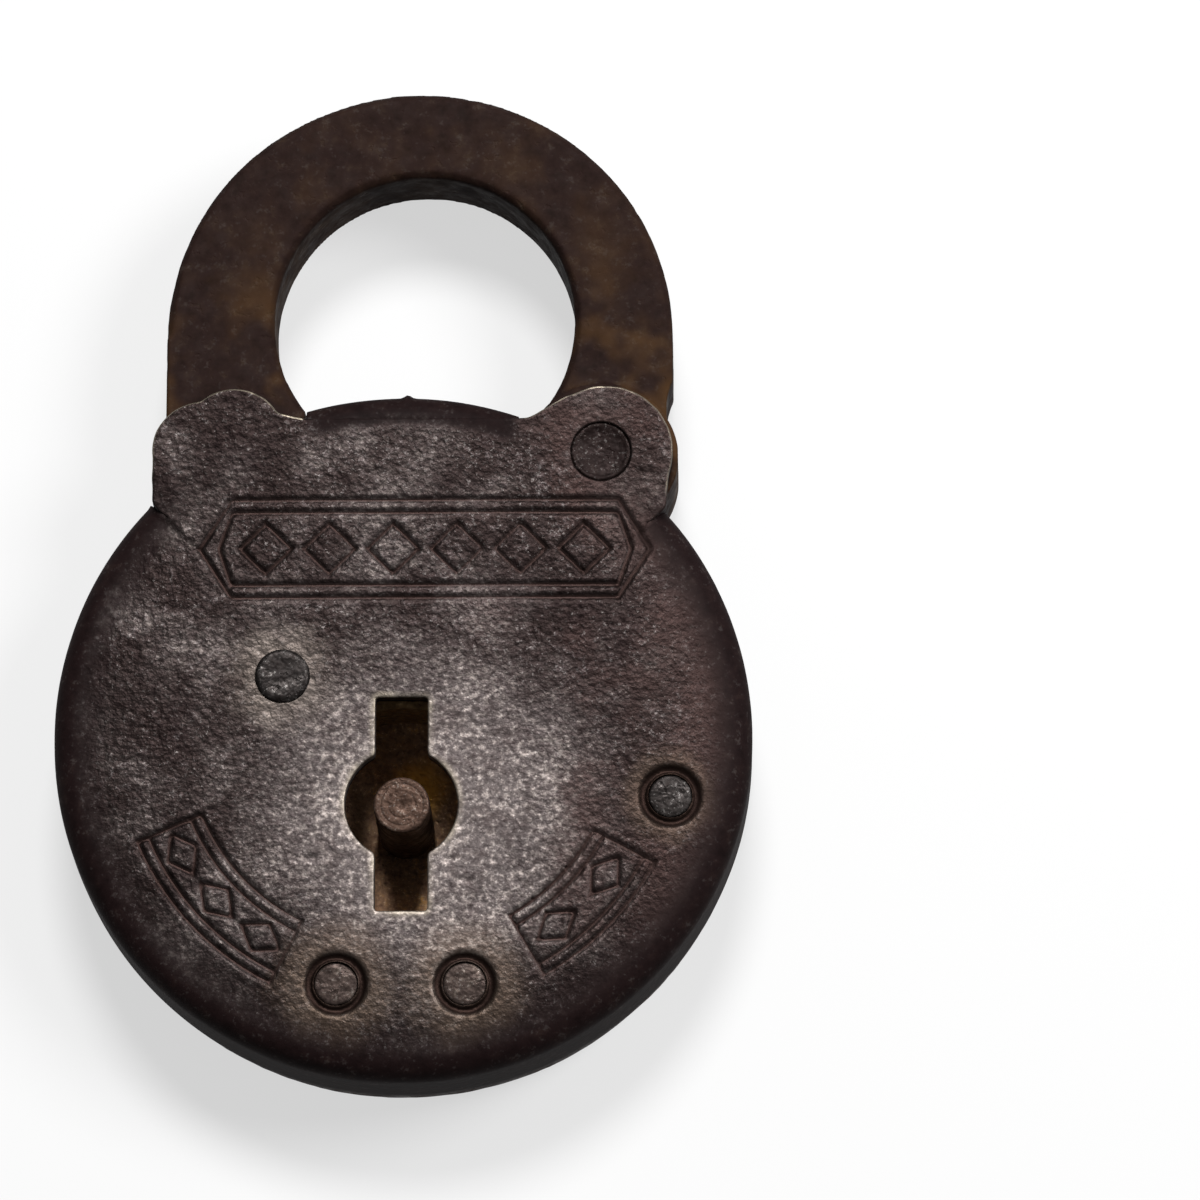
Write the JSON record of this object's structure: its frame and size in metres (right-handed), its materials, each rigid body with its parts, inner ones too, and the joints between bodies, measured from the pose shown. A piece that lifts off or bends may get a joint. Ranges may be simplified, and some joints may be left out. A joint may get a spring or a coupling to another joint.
{
  "type": "padlock",
  "caption": "Round flat padlock with a swinging flat shackle, riveted shells, a keyhole with a centre post, and pivoted levers and a locking dog inside, old and rusty.",
  "frame": {"origin": "centre of the round case on its flat back face", "axes": "+Z out of the face with the keyhole, +Y towards the shackle's bow, +X to the right as the face is seen"},
  "size_m": [0.057, 0.0834, 0.013],
  "materials": {
    "case_steel": "rusty brown-black, pitted, worn paler round the keyhole",
    "back_steel": "rusty brown-black, pitted",
    "shackle_steel": "dark brown rust with olive-orange patches",
    "rivet_steel": "worn, dished, dirt in the recesses",
    "post_steel": "turned end, pinkish-brown tarnish",
    "lever_brass": "dull tarnished brass with rusty dirt",
    "spring_steel": "dark oiled spring steel",
    "inner_steel": "rust-stained steel"
  },
  "bodies": {
    "case": {"front_case": "case_steel", "back_case": "back_steel", "pivot_rivet": "rivet_steel", "dog_rivet": "rivet_steel", "left_lever_rivet": "rivet_steel", "right_lever_rivet": "rivet_steel", "spring_rivet": "rivet_steel", "key_post": "post_steel", "dog_spacer": "inner_steel", "dog_washer": "inner_steel", "dog_spring": "spring_steel", "shackle_spring": "spring_steel", "spring_bush": "inner_steel", "left_spacer_1": "inner_steel", "left_spacer_2": "inner_steel", "left_spacer_3": "inner_steel", "right_spacer_1": "inner_steel", "right_spacer_2": "inner_steel", "right_spacer_3": "inner_steel", "right_spacer_4": "inner_steel"},
    "shackle": {"shackle": "shackle_steel"},
    "dog": {"locking_dog": "lever_brass", "fence_pin": "inner_steel"},
    "left_lever_1": {"left_lever_1": "lever_brass", "left_lever_spring_1": "spring_steel"},
    "left_lever_2": {"left_lever_2": "lever_brass", "left_lever_spring_2": "spring_steel"},
    "left_lever_3": {"left_lever_3": "lever_brass", "left_lever_spring_3": "spring_steel"},
    "right_lever_1": {"right_lever_1": "lever_brass", "right_lever_spring_1": "spring_steel"},
    "right_lever_2": {"right_lever_2": "lever_brass", "right_lever_spring_2": "spring_steel"},
    "right_lever_3": {"right_lever_3": "lever_brass", "right_lever_spring_3": "spring_steel"}
  },
  "joints": [
    {"name": "shackle_swing", "type": "hinge", "parent": "case", "child": "shackle", "pos_m": [0.01618, 0.02346, 0], "axis": [0, 0, -1], "range_deg": [0, 72]},
    {"name": "dog_throw", "type": "hinge", "parent": "case", "child": "dog", "pos_m": [-0.00973, 0.00462, 0], "axis": [0, 0, 1], "range_deg": [0, 15]},
    {"name": "left_lever_1_drop", "type": "hinge", "parent": "case", "child": "left_lever_1", "pos_m": [-0.0052, -0.0208, 0], "axis": [0, 0, -1], "range_deg": [0, 2.9]},
    {"name": "left_lever_2_drop", "type": "hinge", "parent": "case", "child": "left_lever_2", "pos_m": [-0.0052, -0.0208, 0], "axis": [0, 0, -1], "range_deg": [0, 2.5]},
    {"name": "left_lever_3_drop", "type": "hinge", "parent": "case", "child": "left_lever_3", "pos_m": [-0.0052, -0.0208, 0], "axis": [0, 0, -1], "range_deg": [0, 3.1]},
    {"name": "right_lever_1_drop", "type": "hinge", "parent": "case", "child": "right_lever_1", "pos_m": [0.0052, -0.0208, 0], "axis": [0, 0, 1], "range_deg": [0, 2.1]},
    {"name": "right_lever_2_drop", "type": "hinge", "parent": "case", "child": "right_lever_2", "pos_m": [0.0052, -0.0208, 0], "axis": [0, 0, 1], "range_deg": [0, 2.2]},
    {"name": "right_lever_3_drop", "type": "hinge", "parent": "case", "child": "right_lever_3", "pos_m": [0.0052, -0.0208, 0], "axis": [0, 0, 1], "range_deg": [0, 1.9]}
  ],
  "couplings": [
    {"joint": "left_lever_1_drop", "follows": "dog_throw", "ratio": 0.19333},
    {"joint": "left_lever_2_drop", "follows": "dog_throw", "ratio": 0.16667},
    {"joint": "left_lever_3_drop", "follows": "dog_throw", "ratio": 0.20667},
    {"joint": "right_lever_1_drop", "follows": "dog_throw", "ratio": 0.14},
    {"joint": "right_lever_2_drop", "follows": "dog_throw", "ratio": 0.14667},
    {"joint": "right_lever_3_drop", "follows": "dog_throw", "ratio": 0.12667}
  ]
}
